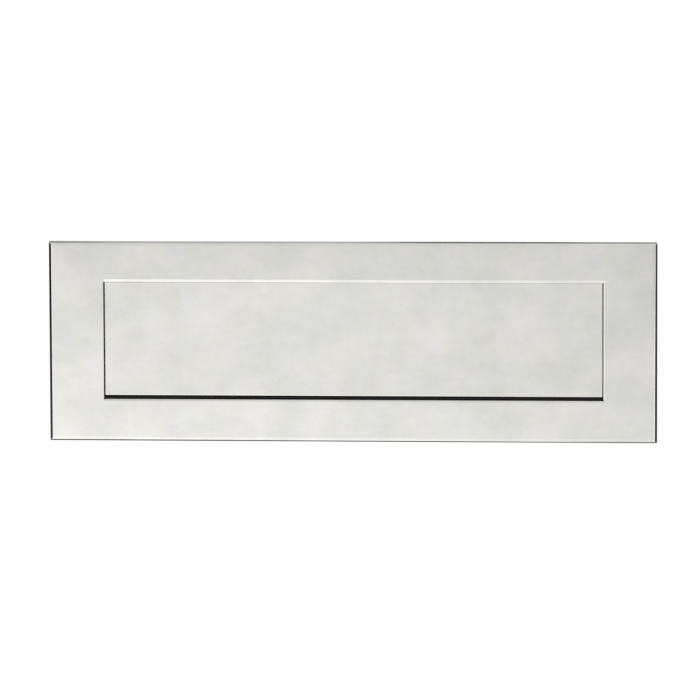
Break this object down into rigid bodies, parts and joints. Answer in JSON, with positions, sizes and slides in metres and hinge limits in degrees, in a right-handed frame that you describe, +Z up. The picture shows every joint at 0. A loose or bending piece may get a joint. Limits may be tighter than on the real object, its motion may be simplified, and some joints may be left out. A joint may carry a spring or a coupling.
{
  "type": "letter plate",
  "caption": "Polished steel door letter plate: shallow pan-shaped plate with a flush, inward-opening sprung flap, hinge rod behind and through-door fixing screws.",
  "frame": {"origin": "centre of the plate's outline, on the plane of its rear rim, which is the door's outer face", "axes": "+X along the plate to the right as seen from the street, +Y from the street into the house, +Z up"},
  "size_m": [0.304, 0.0543, 0.1],
  "materials": {
    "polished_stainless": "polished",
    "mill_steel": "satin",
    "zinc_plated": "satin",
    "spring_steel": "satin",
    "black_foam": "matte",
    "black_rubber": "matte",
    "nylon": "satin"
  },
  "bodies": {
    "plate": {"front_plate": "polished_stainless", "weather_gasket": "black_foam", "pivot_rod": "mill_steel", "fixing_post_left": "mill_steel", "fixing_screw_left": "zinc_plated", "screw_washer_left": "zinc_plated", "hinge_bracket_left": "mill_steel", "bracket_stud_left_lower": "mill_steel", "bracket_washer_left_lower": "zinc_plated", "bracket_nut_left_lower": "zinc_plated", "bracket_stud_left_upper": "mill_steel", "bracket_washer_left_upper": "zinc_plated", "bracket_nut_left_upper": "zinc_plated", "rod_clip_left": "spring_steel", "torsion_spring_left": "spring_steel", "stop_pad_left": "black_rubber", "fixing_post_right": "mill_steel", "fixing_screw_right": "zinc_plated", "screw_washer_right": "zinc_plated", "hinge_bracket_right": "mill_steel", "bracket_stud_right_lower": "mill_steel", "bracket_washer_right_lower": "zinc_plated", "bracket_nut_right_lower": "zinc_plated", "bracket_stud_right_upper": "mill_steel", "bracket_washer_right_upper": "zinc_plated", "bracket_nut_right_upper": "zinc_plated", "rod_clip_right": "spring_steel", "torsion_spring_right": "spring_steel", "stop_pad_right": "black_rubber"},
    "flap": {"flap": "polished_stainless", "flap_seal_top": "black_foam", "flap_seal_bottom": "black_foam", "flap_seal_left": "black_foam", "flap_seal_right": "black_foam", "flap_bush_left": "nylon", "flap_bush_right": "nylon"}
  },
  "joints": [
    {"name": "flap_hinge", "type": "hinge", "parent": "plate", "child": "flap", "pos_m": [0, 0.0015, 0.036], "axis": [1, 0, 0], "range_deg": [0, 90], "stiffness_Nm_per_rad": 0.15, "springref_deg": -28.65, "deforming": ["torsion_spring_left", "torsion_spring_right"]}
  ]
}
